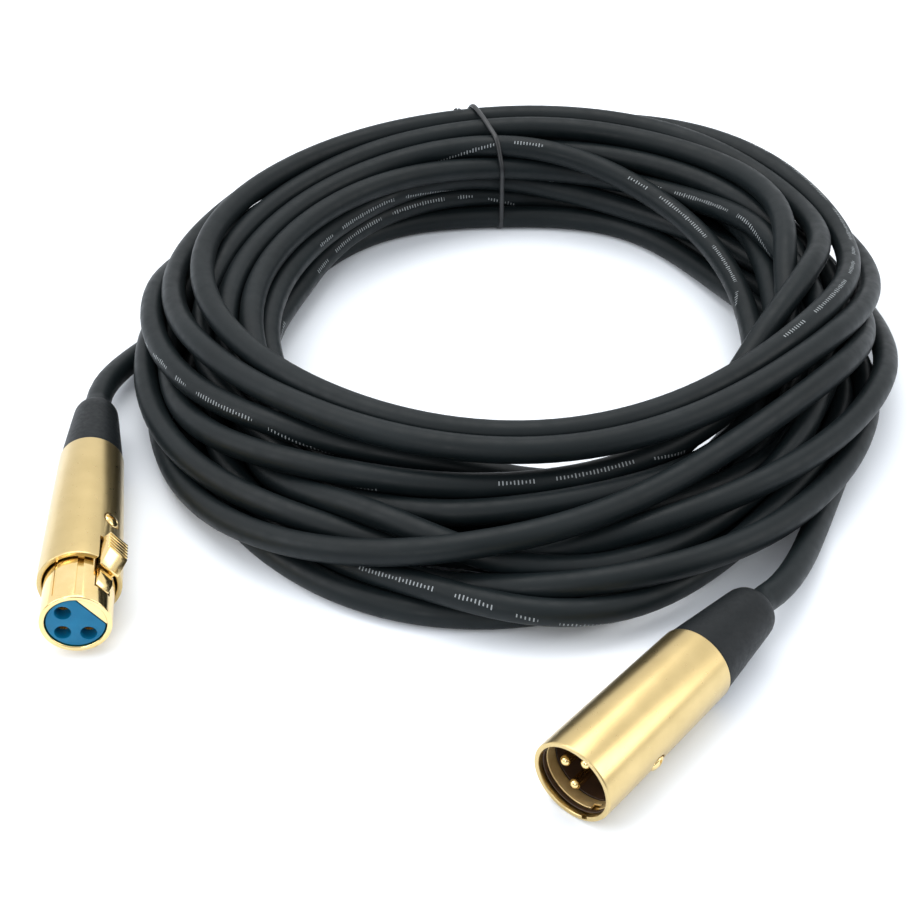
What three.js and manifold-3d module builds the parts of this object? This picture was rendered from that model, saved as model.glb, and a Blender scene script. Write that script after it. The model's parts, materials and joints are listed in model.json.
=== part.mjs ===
// Microphone cable, coiled flat and held by a twist tie, with a female and a male three-pole plug.
// Millimetres, +Z up, standing surface at z = 0, the plugs towards -Y.
// Each plug is drawn along its own Y axis: mating face at y = 0, cord leaving towards +y.

import * as THREE from "three";
import { mergeVertices } from "three/addons/utils/BufferGeometryUtils.js";
import Module from "manifold-3d";

// ---- sizes -------------------------------------------------------------------------------

const COIL_OUTER_R = 101; // outside of the coil
const COIL_WIDTH = 39; // coil section, across
const COIL_HEIGHT = 30; // coil section, up
const CABLE_R = 3.2; // outside of the cord's jacket
const SHELL_R = 9.5; // both plug shells, at the mating end
const FEMALE_SHELL_LENGTH = 45.9;
const MALE_SHELL_LENGTH = 43.7;
const BARREL_LENGTH = 13.2; // how far the female barrel stands out of its shell
const PIN_R = 1.2;
const LATCH_ANGLE = 38; // degrees from level, seen on the mating face
const MALE_KEY_ANGLE = -17; // degrees, where the latch meets the male plug
const KEYWAY_TURN = 42; // degrees between the latch and the keyway
const FEMALE_YAW = 0.1; // radians
const FEMALE_TIP = 0.024; // the female plug's nose is up by this much
const MALE_YAW = -0.701;
const FEMALE_BEARING = 194.6; // degrees round the coil to the end of each boot
const MALE_BEARING = -65.3;
const BOOT_CLEARANCE = 12.5; // from the coil to the end of each boot
const TIE_BEARING = 98;
const TIE_WIRE_R = 0.8;

// ---- sizes that follow -------------------------------------------------------------------

const GAP = 0.3; // between pieces that touch
const BARREL_R = SHELL_R - 1.55;
const PIN_CIRCLE = BARREL_R / 2;
const SOCKET_R = PIN_R + 0.35;
const WIRE_R = PIN_R * 0.58;
const REAR_R = BARREL_R - 0.65; // the barrel's rear body
const FLAT = BARREL_R - 3.5; // flat side of the female insulator
const LEVER_FLOOR = BARREL_R - 1.55;
const PIVOT = { y: BARREL_LENGTH + 11.3, z: REAR_R - 1.7 };
const FEMALE_END = BARREL_LENGTH + FEMALE_SHELL_LENGTH; // rear of the female shell
const FEMALE_SCREW_Y = BARREL_LENGTH + 15.5;
const MALE_SCREW_Y = 17.3;
const FEMALE_BOOT_END = FEMALE_END + 21.9;
const MALE_BOOT_END = MALE_SHELL_LENGTH + 23.3;
const MOUTH_R = BARREL_R + 0.2; // opening that the barrel slides into
const SHELL_SIDES = 40;

// ---- helpers -----------------------------------------------------------------------------

const wasm = await Module();
wasm.setup();

function solid(geometry) {
  const bare = geometry.clone();
  bare.deleteAttribute("normal");
  bare.deleteAttribute("uv");
  const merged = mergeVertices(bare, 1e-4);
  return new wasm.Manifold(
    new wasm.Mesh({
      numProp: 3,
      vertProperties: new Float32Array(merged.attributes.position.array),
      triVerts: new Uint32Array(merged.index.array),
    }),
  );
}

function geometryOf(manifold) {
  const { vertProperties, triVerts } = manifold.getMesh();
  const geometry = new THREE.BufferGeometry();
  geometry.setAttribute("position", new THREE.BufferAttribute(vertProperties, 3));
  geometry.setIndex(new THREE.BufferAttribute(triVerts, 1));
  const flat = geometry.toNonIndexed();
  flat.computeVertexNormals();
  return flat;
}

function cut(base, ...tools) {
  let made = solid(base);
  for (const tool of tools) made = made.subtract(solid(tool));
  return geometryOf(made);
}

function join(...pieces) {
  let made = solid(pieces[0]);
  for (const piece of pieces.slice(1)) made = made.add(solid(piece));
  return geometryOf(made);
}

// A turned piece round the Y axis. A ring's profile closes on itself, outer wall towards +y.
function turned(profile, sides = SHELL_SIDES) {
  return new THREE.LatheGeometry(
    profile.map(([r, y]) => new THREE.Vector2(r, y)),
    sides,
  );
}

function tube(outer, inner, y0, y1, sides = SHELL_SIDES) {
  return turned([[outer, y0], [outer, y1], [inner, y1], [inner, y0], [outer, y0]], sides);
}

function rod(r, y0, y1, sides = 16) {
  return turned([[0, y0], [r, y0], [r, y1], [0, y1]], sides);
}

// A round bar that points up, for screws and their holes.
function post(r, z0, z1, sides = 16) {
  return rod(r, z0, z1, sides).rotateX(Math.PI / 2);
}

function block(x0, x1, y0, y1, z0, z1) {
  const box = new THREE.BoxGeometry(x1 - x0, y1 - y0, z1 - z0);
  return box.translate((x0 + x1) / 2, (y0 + y1) / 2, (z0 + z1) / 2);
}

// A plate of the given side view (y, z), centred on x = 0.
function plate(outline, width) {
  const shape = new THREE.Shape(outline.map(([y, z]) => new THREE.Vector2(y, z)));
  const geometry = new THREE.ExtrudeGeometry(shape, { depth: width, bevelEnabled: false });
  const sideways = new THREE.Matrix4().makeBasis(
    new THREE.Vector3(0, 1, 0),
    new THREE.Vector3(0, 0, 1),
    new THREE.Vector3(1, 0, 0),
  );
  return geometry.applyMatrix4(sideways).translate(-width / 2, 0, 0);
}

// A round bar along a smooth line through the points.
function cord(points, r, steps, sides = 10) {
  const path = new THREE.CatmullRomCurve3(points.map((p) => new THREE.Vector3(...p)));
  const round = new THREE.Shape();
  for (let i = 0; i < sides; i++) {
    const turn = (2 * Math.PI * i) / sides;
    const at = [r * Math.cos(turn), r * Math.sin(turn)];
    if (i === 0) round.moveTo(...at);
    else round.lineTo(...at);
  }
  round.closePath();
  return new THREE.ExtrudeGeometry(round, { extrudePath: path, steps, bevelEnabled: false });
}

const radians = THREE.MathUtils.degToRad;

// Turns a piece drawn with its outward side up (+z) to the given angle on the mating face.
function towards(geometry, degrees) {
  return geometry.rotateY(Math.PI / 2 - radians(degrees));
}

function finish(color, roughness, metalness = 0) {
  return new THREE.MeshStandardMaterial({ color, roughness, metalness });
}

function part(parent, name, geometry, material) {
  const mesh = new THREE.Mesh(geometry, material);
  mesh.name = name;
  parent.add(mesh);
}

const satinGold = () => finish(0xd9bf7c, 0.35, 1);
const brightGold = () => finish(0xe8c469, 0.15, 1);
const rubber = () => finish(0x1d2023, 0.6);
const darkPlastic = () => finish(0x21150e, 0.45);

// ---- pieces that both plugs have ---------------------------------------------------------

// Slotted domed screw at height z on the latch side.
function screw(y, top, depth) {
  const R = 1.95;
  const dome = new THREE.SphereGeometry(R, 20, 10).scale(1, 1, 0.48).translate(0, 0, top);
  const head = cut(dome, block(-3, 3, -3, 3, top - 3, top));
  const shank = post(1.05, top - depth, top + 0.2);
  const slot = block(-3, 3, -0.3, 0.3, top + 0.45, top + 2);
  return cut(join(head, shank), slot).translate(0, y, 0);
}

// Shell recess and clearance hole for that screw.
function screwHole(y, top) {
  return [
    post(2.3, top - 0.25, top + 2, 28).translate(0, y, 0),
    post(1.4, top - 5, top + 1).translate(0, y, 0),
  ];
}

// Split collar that grips the cord.
function clamp(outer, y0, y1) {
  const collar = turned([
    [outer - 0.6, y0],
    [outer, y0 + 0.8],
    [outer, y1 - 1.6],
    [outer - 1.2, y1],
    [CABLE_R + GAP, y1],
    [CABLE_R + GAP, y0],
    [outer - 0.6, y0],
  ], 28);
  const middle = (y0 + y1) / 2;
  const groove = tube(outer + 1, outer - 0.7, middle - 0.7, middle + 0.7, 28);
  return cut(collar, groove, block(-0.9, 0.9, y0 - 1, y1 + 1, 0, outer + 1));
}

// Boot: a sleeve inside the shell, a taper outside it, a rounded end.
function boot(y0, shellEnd, end, sleeve, neck) {
  return turned([
    [sleeve - 0.4, y0],
    [sleeve, y0 + 0.6],
    [sleeve, shellEnd + 1.2],
    [sleeve - (sleeve - neck) * 0.55, shellEnd + (end - shellEnd) * 0.55],
    [neck, end - 2.6],
    [neck - 0.12, end - 1.5],
    [neck - 0.5, end - 0.6],
    [neck - 1.1, end],
    [CABLE_R + GAP, end],
    [CABLE_R + GAP, y0],
    [sleeve - 0.4, y0],
  ], 36);
}

// Wires from the three contacts to the cord's cut end.
function wires(group, name, start, end, angles) {
  const colours = [0xb8b2a6, 0xa32a22, 0xd8d3c8];
  angles.forEach((degrees, i) => {
    const at = (r, y) => [
      r * Math.cos(radians(degrees)),
      y,
      r * Math.sin(radians(degrees)),
    ];
    const near = WIRE_R * 1.9;
    const line = [
      at(PIN_CIRCLE, start),
      at(PIN_CIRCLE, start + (end - start) * 0.3),
      at(near, start + (end - start) * 0.8),
      at(near, end),
    ];
    part(group, `${name}_wire_${i + 1}`, cord(line, WIRE_R, 8, 8), finish(colours[i], 0.5));
  });
}

// ---- female plug -------------------------------------------------------------------------

const female = new THREE.Group();
const rim = BARREL_LENGTH; // the shell's front edge
const step = rim + 9; // where the shell's bore and the barrel both narrow
const barrelEnd = rim + 18.2;
const insulatorEnd = step - 1.2;
const leverWidth = 4;
const tabWidth = 6.4;
const channel = leverWidth / 2 + GAP;
const femaleAngles = [90, 180, 270].map((turn) => LATCH_ANGLE + turn);
const femaleRearR = SHELL_R - 1.75;
const femaleScrewTop = SHELL_R - 0.8;

const femaleShell = turned([
  [SHELL_R - 0.35, rim],
  [SHELL_R - 0.08, rim + 0.18],
  [SHELL_R, rim + 0.5],
  [SHELL_R, rim + 4],
  [SHELL_R - 0.85, rim + 4 + (FEMALE_SHELL_LENGTH - 4) * 0.5],
  [femaleRearR, FEMALE_END - 0.5],
  [femaleRearR - 0.25, FEMALE_END],
  [femaleRearR - 0.7, FEMALE_END],
  [femaleRearR - 0.7, barrelEnd + 0.6],
  [REAR_R + 0.35, barrelEnd + 0.4],
  [REAR_R + 0.35, step + 0.2],
  [BARREL_R + 0.35, step],
  [BARREL_R + 0.35, rim + 0.5],
  [BARREL_R + 0.6, rim],
  [SHELL_R - 0.35, rim],
]);
const slotHalf = tabWidth / 2 + GAP;
const latchSlot = block(-slotHalf, slotHalf, rim - 1, step + 0.6, LEVER_FLOOR, SHELL_R + 3);
part(
  female,
  "female_shell",
  towards(cut(femaleShell, latchSlot, ...screwHole(FEMALE_SCREW_Y, femaleScrewTop)), LATCH_ANGLE),
  satinGold(),
);

const barrelTube = turned([
  [BARREL_R - 0.35, 0],
  [BARREL_R, 0.4],
  [BARREL_R, step - 0.3],
  [REAR_R, step - 0.3],
  [REAR_R, barrelEnd],
  [REAR_R - 1.2, barrelEnd],
  [REAR_R - 1.2, step - 0.9],
  [BARREL_R - 1.2, step - 0.9],
  [BARREL_R - 1.2, 0.5],
  [BARREL_R - 0.9, 0],
  [BARREL_R - 0.35, 0],
]);
// The metal web behind the rim that backs the insulator's flat side.
const web = geometryOf(
  solid(block(-8, 8, 0.5, 4.8, FLAT + GAP, BARREL_R)).intersect(solid(rod(BARREL_R - 1, 0, 6, 48))),
);
const leverChannel = block(-channel, channel, 5.1, PIVOT.y + 1.8, FLAT, BARREL_R + 1);
const pivotHole = rod(1.1, -8, 8).rotateZ(Math.PI / 2).translate(0, PIVOT.y, PIVOT.z);
const barrelScrewHole = post(1.4, 2, SHELL_R).translate(0, FEMALE_SCREW_Y, 0);
const keyway = block(-0.7, 0.7, 1.2, rim + 1, BARREL_R - 0.5, BARREL_R + 1);
const seam = block(-0.35, 0.35, 2.4, rim + 1, BARREL_R - 0.3, BARREL_R + 1);
part(
  female,
  "female_barrel",
  towards(
    cut(
      join(barrelTube, web),
      leverChannel,
      pivotHole,
      barrelScrewHole,
      keyway.rotateY(-radians(KEYWAY_TURN)),
      seam.rotateY(-radians(KEYWAY_TURN * 2)),
    ),
    LATCH_ANGLE,
  ),
  brightGold(),
);

const contactAt = (degrees, r = PIN_CIRCLE) => [
  r * Math.cos(radians(degrees)),
  0,
  r * Math.sin(radians(degrees)),
];
const femaleBody = cut(
  turned([
    [0, 0.9],
    [BARREL_R - 1.75, 0.9],
    [BARREL_R - 1.5, 1.15],
    [BARREL_R - 1.5, insulatorEnd],
    [0, insulatorEnd],
  ]),
  towards(block(-8, 8, -1, insulatorEnd + 1, FLAT, BARREL_R + 1), LATCH_ANGLE),
  ...femaleAngles.map((a) => rod(SOCKET_R + GAP, -1, insulatorEnd + 1, 24).translate(...contactAt(a))),
);
part(female, "female_insulator", femaleBody, finish(0x1f82b9, 0.4));

const socketBack = insulatorEnd + 1;
const socket = cut(
  turned([
    [0, 16],
    [PIN_R + 0.05, 16],
    [PIN_R + 0.05, 1.7],
    [PIN_R + 0.15, 1.3],
    [SOCKET_R, 1.3],
    [SOCKET_R, socketBack],
    [SOCKET_R - 0.2, socketBack + 0.3],
    [SOCKET_R - 0.2, socketBack + 5],
    [0, socketBack + 5],
  ], 20),
  rod(WIRE_R + 0.3, socketBack + 2, socketBack + 6, 12),
);
femaleAngles.forEach((a, i) => {
  part(
    female,
    `female_contact_${i + 1}`,
    socket.clone().translate(...contactAt(a)),
    finish(0xc9a54e, 0.3, 1),
  );
});

// Latch lever: hook, arm, ribbed thumb tab and the eye that it turns on.
const armTop = LEVER_FLOOR + 1.2;
const arm = plate([
  [6.2, LEVER_FLOOR],
  [PIVOT.y - 3, LEVER_FLOOR],
  [PIVOT.y - 0.9, PIVOT.z - 0.9],
  [PIVOT.y, PIVOT.z + 1.3],
  [PIVOT.y - 3.2, armTop],
  [6.2, armTop],
], leverWidth);
const hook = plate([
  [5.8, LEVER_FLOOR],
  [10.3, LEVER_FLOOR],
  [10.3, BARREL_R + 0.8],
  [7.7, BARREL_R + 0.8],
  [5.8, armTop],
], leverWidth);
const tabFoot = BARREL_R + 1.1;
const tabTop = SHELL_R + 2.6;
const tabBack = step - 0.4;
const neck = plate([
  [10.9, armTop - 0.6],
  [tabBack, armTop - 0.6],
  [tabBack, tabFoot + 0.5],
  [10.9, tabFoot + 0.5],
], leverWidth);
const tabOutline = [[rim - 2.5, tabFoot], [tabBack, tabFoot], [tabBack, tabTop - 0.1]];
const RIBS = 5;
const ribStep = (tabBack - rim - 2) / RIBS;
for (let i = 0; i < RIBS; i++) {
  const back = tabBack - i * ribStep;
  tabOutline.push([back - ribStep * 0.5, tabTop - 0.1 + i * 0.04]);
  tabOutline.push([back - ribStep * 0.6, tabTop - 0.55]);
  tabOutline.push([back - ribStep * 0.9, tabTop - 0.55]);
  tabOutline.push([back - ribStep, tabTop + i * 0.04]);
}
tabOutline.push([rim + 0.9, tabTop - 0.4]);
tabOutline.push([rim - 2.5, tabFoot + 0.6]);
const tab = plate(tabOutline, tabWidth);
const eye = rod(1.35, -leverWidth / 2, leverWidth / 2, 24).rotateZ(Math.PI / 2);
const lever = cut(
  join(arm, hook, neck, tab, eye.translate(0, PIVOT.y, PIVOT.z)),
  rod(1.05, -8, 8).rotateZ(Math.PI / 2).translate(0, PIVOT.y, PIVOT.z),
);
part(female, "latch_lever", towards(lever, LATCH_ANGLE), brightGold());

const PIVOT_R = 0.75;
const pivotHalf = Math.sqrt((REAR_R + 0.35) ** 2 - (PIVOT.z + PIVOT_R) ** 2) - GAP * 0.7;
const pivotRod = rod(PIVOT_R, -pivotHalf, pivotHalf).rotateZ(Math.PI / 2);
const pivotPin = pivotRod.translate(0, PIVOT.y, PIVOT.z);
part(female, "latch_pivot", towards(pivotPin, LATCH_ANGLE), finish(0xb9bcc0, 0.25, 1));

// Leaf spring between the insulator's flat side and the lever.
const leafLow = FLAT + GAP;
const leafHigh = LEVER_FLOOR - GAP;
const leafLine = [[insulatorEnd - 0.3, 0], [17.5, 0], [14.5, 0.32], [11.8, 0.8], [10.4, 1], [9.4, 0.9]];
const rise = (share) => leafLow + share * (leafHigh - leafLow - 0.25);
const leaf = plate([
  ...leafLine.map(([y, share]) => [y, rise(share)]).reverse(),
  ...leafLine.map(([y, share]) => [y, rise(share) + 0.25]),
], leverWidth - 1);
part(female, "latch_spring", towards(leaf, LATCH_ANGLE), finish(0xb0b3b8, 0.3, 1));

const femaleScrew = screw(FEMALE_SCREW_Y, femaleScrewTop, 2.4);
part(female, "female_screw", towards(femaleScrew, LATCH_ANGLE), brightGold());

const femaleCordEnd = FEMALE_BOOT_END - 41;
const femaleClamp = clamp(femaleRearR - 1, femaleCordEnd + 2, FEMALE_END - 6.6);
part(female, "female_clamp", femaleClamp, finish(0x8f9296, 0.5));
part(
  female,
  "female_boot",
  boot(FEMALE_END - 6.2, FEMALE_END, FEMALE_BOOT_END, femaleRearR - 1, CABLE_R + 1.65),
  rubber(),
);
part(
  female,
  "female_cord_end",
  rod(CABLE_R, femaleCordEnd, FEMALE_BOOT_END - GAP, 16),
  rubber(),
);
wires(female, "female", socketBack + 3, femaleCordEnd - GAP, femaleAngles);

// ---- male plug ---------------------------------------------------------------------------

const male = new THREE.Group();
const maleRearR = SHELL_R - 0.6;
const bore = MOUTH_R + 0.7;
const rearBore = bore - 0.65;
const floor = BARREL_LENGTH + 0.4; // the insulator's face behind the pins
const maleBack = floor + 8.4;
const maleRoom = MALE_SHELL_LENGTH - maleBack;
const maleAngles = [90, 180, 270].map((turn) => MALE_KEY_ANGLE + turn);
const maleScrewTop = SHELL_R - 0.45;

const maleShell = turned([
  [SHELL_R - 0.35, 0],
  [SHELL_R - 0.08, 0.16],
  [SHELL_R, 0.45],
  [SHELL_R, 6],
  [maleRearR, MALE_SHELL_LENGTH - 0.5],
  [maleRearR - 0.25, MALE_SHELL_LENGTH],
  [rearBore, MALE_SHELL_LENGTH],
  [rearBore, floor + 0.9],
  [bore, floor + 0.7],
  [bore, 1.2],
  [MOUTH_R + 0.2, 1.2],
  [MOUTH_R + 0.2, 0.5],
  [MOUTH_R + 0.6, 0],
  [SHELL_R - 0.35, 0],
]);
const lipNotch = block(-0.7, 0.7, -1, 2, MOUTH_R, MOUTH_R + 0.75).rotateY(radians(KEYWAY_TURN + 6));
part(
  male,
  "male_shell",
  towards(cut(maleShell, lipNotch, ...screwHole(MALE_SCREW_Y, maleScrewTop)), MALE_KEY_ANGLE),
  satinGold(),
);

const liner = bore - GAP;
part(male, "male_collar", tube(liner, MOUTH_R, 1.5, 2.4), darkPlastic());

const keyNotch = block(-1.1, 1.1, 2, 4.1, MOUTH_R - 1, liner + 1).rotateY(radians(KEYWAY_TURN));
const catchWindow = block(-2.5, 2.5, 2, 8.4, MOUTH_R - 1, liner + 1);
part(
  male,
  "male_ring",
  towards(cut(tube(liner, MOUTH_R, 2.7, 5.4), keyNotch, catchWindow), MALE_KEY_ANGLE),
  brightGold(),
);

const maleBody = turned([
  [0, floor],
  [MOUTH_R, floor],
  [MOUTH_R, 5.7],
  [liner, 5.7],
  [liner, floor + 0.6],
  [rearBore - GAP, floor + 0.6],
  [rearBore - GAP, maleBack],
  [0, maleBack],
]);
const maleScrewSeat = post(1.4, 5.9, SHELL_R).translate(0, MALE_SCREW_Y, 0);
const pinHoles = maleAngles.map((a) => rod(PIN_R + GAP, 3, maleBack + 1, 24).translate(...contactAt(a)));
part(
  male,
  "male_insulator",
  cut(towards(cut(maleBody, catchWindow, maleScrewSeat), MALE_KEY_ANGLE), ...pinHoles),
  darkPlastic(),
);

const pinTip = 2.1;
const pinProfile = [];
for (let i = 0; i <= 5; i++) {
  const turn = (Math.PI / 2) * (i / 5);
  pinProfile.push([PIN_R * Math.sin(turn), pinTip + PIN_R * (1 - Math.cos(turn))]);
}
pinProfile[0][0] = 0;
const pinEnd = maleBack + maleRoom * 0.23;
const wireStart = maleBack + maleRoom * 0.14;
pinProfile.push([PIN_R, maleBack + 0.6], [PIN_R + 0.1, maleBack + 0.9], [PIN_R + 0.1, pinEnd], [0, pinEnd]);
const pin = cut(turned(pinProfile, 20), rod(WIRE_R + 0.3, wireStart - 1, pinEnd + 1, 12));
maleAngles.forEach((a, i) => {
  part(male, `male_pin_${i + 1}`, pin.clone().translate(...contactAt(a)), brightGold());
});

const maleScrew = screw(MALE_SCREW_Y, maleScrewTop, 2.3);
part(male, "male_screw", towards(maleScrew, MALE_KEY_ANGLE), brightGold());

const maleCordEnd = maleBack + maleRoom * 0.46;
const maleClampEnd = maleBack + maleRoom * 0.755;
const maleClamp = clamp(rearBore - 0.5, maleCordEnd + 0.8, maleClampEnd);
part(male, "male_clamp", maleClamp, finish(0x8f9296, 0.5));
part(
  male,
  "male_boot",
  boot(maleClampEnd + GAP, MALE_SHELL_LENGTH, MALE_BOOT_END, rearBore - GAP, CABLE_R + 3.2),
  rubber(),
);
part(
  male,
  "male_cord_end",
  rod(CABLE_R, maleCordEnd, MALE_BOOT_END - GAP, 16),
  rubber(),
);
wires(male, "male", wireStart, maleCordEnd - GAP, maleAngles);

// ---- coil, leads and tie -----------------------------------------------------------------

const layout = new THREE.Group();

const CORNER_STEPS = 3;

// Section of the coil, pulled in by `inset` on the sides and the top and by `lift` below.
function coilSection(inset, lift = inset) {
  const outer = COIL_OUTER_R - inset;
  const inner = COIL_OUTER_R - COIL_WIDTH + inset;
  const top = COIL_HEIGHT - inset;
  const r = 9 - inset * 0.5;
  const points = [];
  const corner = (cr, cz, radius, from) => {
    for (let i = 0; i <= CORNER_STEPS; i++) {
      const turn = radians(from + (90 * i) / CORNER_STEPS);
      points.push([cr + radius * Math.cos(turn), cz + radius * Math.sin(turn)]);
    }
  };
  corner(outer - r, lift + r, r, -90);
  corner(outer - r, top - r, r, 0);
  corner(inner + r, top - r, r, 90);
  corner(inner + r, lift + r, r, 180);
  points.push(points[0]);
  return points;
}

// Turned round Z: the lathe's Y becomes Z.
function ring(section, sides = 60) {
  return turned(section, sides).rotateX(Math.PI / 2);
}

const tieDepth = TIE_WIRE_R * 2 + GAP * 2;
const tieSlab = block(0, COIL_OUTER_R + 30, -TIE_WIRE_R * 2.6, TIE_WIRE_R * 2.6, -5, COIL_HEIGHT + 5)
  .rotateZ(radians(TIE_BEARING));
const tieGroove = geometryOf(solid(tieSlab).subtract(solid(ring(coilSection(tieDepth)))));
part(layout, "cable_coil", cut(ring(coilSection(0)), tieGroove), rubber());

// Twist tie: round the section inside the groove, both ends side by side out of the back.
const tieSide = TIE_WIRE_R + GAP * 0.7;
const tieR = TIE_WIRE_R + GAP;
const tieTail = COIL_OUTER_R + 8;
const tieLine = [
  [tieTail, -tieSide, COIL_HEIGHT * 0.46],
  [COIL_OUTER_R + 1.8, -tieSide, COIL_HEIGHT * 0.46],
];
// The section backwards from the foot of its outer corner: down, under, up and over.
const around = coilSection(tieR).slice(0, -1).reverse();
const first = around.length - CORNER_STEPS - 1;
const loop = [...around.slice(first), ...around.slice(0, first)];
loop.forEach(([r, z], i) => {
  tieLine.push([r, tieSide * ((2 * i) / (loop.length - 1) - 1), z]);
});
tieLine.push([COIL_OUTER_R + 1.8, tieSide, COIL_HEIGHT * 0.5]);
tieLine.push([tieTail, tieSide, COIL_HEIGHT * 0.5]);
const tie = cord(tieLine, TIE_WIRE_R, 52, 6).rotateZ(radians(TIE_BEARING));
part(layout, "twist_tie", tie, finish(0x17191b, 0.55));

// Puts a plug so that the end of its boot is BOOT_CLEARANCE off the coil, and draws its lead.
function place(plug, bearing, yaw, tip, bootEnd, height) {
  plug.rotation.set(-tip, 0, yaw, "ZYX");
  const away = COIL_OUTER_R + BOOT_CLEARANCE;
  const end = new THREE.Vector3(
    away * Math.cos(radians(bearing)),
    away * Math.sin(radians(bearing)),
    height,
  );
  const back = new THREE.Vector3(0, bootEnd, 0).applyEuler(plug.rotation);
  plug.position.set(end.x - back.x, end.y - back.y, height - back.z);
  layout.add(plug);
  return { end, ahead: back.normalize() };
}

const ringClearance = ring(coilSection(-GAP, 0));

// Lead from the boot down to the surface and up to the coil's side.
// Each point is [distance outside the coil, bearing, height].
function lead(name, from, points) {
  const start = from.end.clone().addScaledVector(from.ahead, GAP);
  const line = [start.toArray(), start.clone().addScaledVector(from.ahead, 5).toArray()];
  for (const [off, bearing, z] of points) {
    const r = COIL_OUTER_R + off;
    line.push([r * Math.cos(radians(bearing)), r * Math.sin(radians(bearing)), z]);
  }
  part(layout, name, cut(cord(line, CABLE_R, 16), ringClearance), rubber());
}

const femaleHeight = SHELL_R + 0.02 - (FEMALE_BOOT_END - BARREL_LENGTH - 4) * Math.sin(FEMALE_TIP);
const femaleEnd = place(female, FEMALE_BEARING, FEMALE_YAW, FEMALE_TIP, FEMALE_BOOT_END, femaleHeight);
lead("cable_lead_female", femaleEnd, [[7.5, 183.5, 5.6], [1, 173, 4.2], [-7, 166, 3.6]]);

const maleEnd = place(male, MALE_BEARING, MALE_YAW, 0, MALE_BOOT_END, SHELL_R + 0.02);
lead("cable_lead_male", maleEnd, [[4.5, -57, 7.4], [-1.5, -50, 5.6], [-9, -44, 4.4]]);

// The origin is the bottom centre of the whole object's box.
layout.updateMatrixWorld(true);
const box = new THREE.Box3().setFromObject(layout, true);
layout.position.set(-(box.min.x + box.max.x) / 2, -(box.min.y + box.max.y) / 2, -box.min.z);

const cable = new THREE.Group();
cable.add(layout);

export default cable;
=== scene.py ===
"""Looks of a coiled microphone cable: its cord, two plugs, boots, tie, light and camera.

The scene is in metres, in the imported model's frame. The cord's turns and the plugs' pieces are
worked out in millimetres. A plug piece is drawn along the plug's own Y axis, mating face at y = 0,
cord towards +y and latch side up, and is then put in its place.
"""

import json
import math

import bmesh
import bpy
import numpy as np
from mathutils import Matrix, Vector


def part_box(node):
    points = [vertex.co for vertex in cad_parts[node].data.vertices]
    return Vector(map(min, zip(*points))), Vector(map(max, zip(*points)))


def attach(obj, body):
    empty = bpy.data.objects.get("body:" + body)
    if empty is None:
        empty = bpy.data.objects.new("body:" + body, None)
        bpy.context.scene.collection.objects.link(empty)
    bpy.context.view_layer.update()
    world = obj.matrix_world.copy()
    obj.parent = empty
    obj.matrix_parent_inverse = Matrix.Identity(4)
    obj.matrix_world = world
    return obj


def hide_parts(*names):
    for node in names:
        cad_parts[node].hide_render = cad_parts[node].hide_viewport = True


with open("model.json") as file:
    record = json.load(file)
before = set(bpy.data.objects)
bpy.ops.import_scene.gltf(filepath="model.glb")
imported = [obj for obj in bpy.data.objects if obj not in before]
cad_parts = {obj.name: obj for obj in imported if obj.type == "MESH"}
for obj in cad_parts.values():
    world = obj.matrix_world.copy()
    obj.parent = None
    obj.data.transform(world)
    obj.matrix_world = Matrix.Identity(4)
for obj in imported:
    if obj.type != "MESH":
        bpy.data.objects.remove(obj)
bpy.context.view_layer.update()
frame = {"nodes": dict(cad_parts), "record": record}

MM = 0.001

# ---- sizes that the CAD model has too, in millimetres ----------------------------------------

CABLE_R = 3.2
SHELL_R = 9.5
BARREL_LENGTH = 13.2
FEMALE_SHELL_LENGTH = 45.9
MALE_SHELL_LENGTH = 43.7
BARREL_R = SHELL_R - 1.55
REAR_R = BARREL_R - 0.65
PIN_R = 1.2
PIN_CIRCLE = BARREL_R / 2
SOCKET_R = PIN_R + 0.35
FLAT = BARREL_R - 3.5
LEVER_FLOOR = BARREL_R - 1.55
PIVOT_Y = BARREL_LENGTH + 11.3
PIVOT_Z = REAR_R - 1.7
FEMALE_END = BARREL_LENGTH + FEMALE_SHELL_LENGTH
FEMALE_BOOT_END = FEMALE_END + 21.9
MALE_BOOT_END = MALE_SHELL_LENGTH + 23.3
MOUTH_R = BARREL_R + 0.2
LATCH_ANGLE = 38
MALE_KEY_ANGLE = -17
KEYWAY_TURN = 42
TIE_BEARING = 97.5


# ---- places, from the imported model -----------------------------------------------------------

def plug_frame(mount_name, depth):
    """Matrix from a plug's millimetres to the scene, from the flat face that its mount names."""
    mount = next(m for m in frame["record"]["mounts"] if m["name"] == mount_name)
    along = -Vector(mount["axis"]).normalized()
    across = along.cross(Vector((0, 0, 1))).normalized()
    turn = Matrix((across, along, across.cross(along))).transposed().to_4x4()
    origin = Vector(mount["pos_m"]) - along * depth * MM
    return Matrix.Translation(origin) @ turn @ Matrix.Scale(MM, 4)


FEMALE = plug_frame("socket_face", 0.9)
MALE = plug_frame("pin_face", BARREL_LENGTH + 0.4)
FEMALE_LATCH_UP = FEMALE @ Matrix.Rotation(math.radians(90 - LATCH_ANGLE), 4, "Y")
MALE_LATCH_UP = MALE @ Matrix.Rotation(math.radians(90 - MALE_KEY_ANGLE), 4, "Y")

coil_low, coil_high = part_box("cable_coil")
CENTRE = (coil_low + coil_high) / 2 / MM
CENTRE.z = 0


# ---- camera ----------------------------------------------------------------------------------

CAMERA_PLACE = Vector((-18.5, -398.8, 284.3))  # millimetres from the coil's centre
CAMERA_DOWN = 38.24  # degrees

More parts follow.
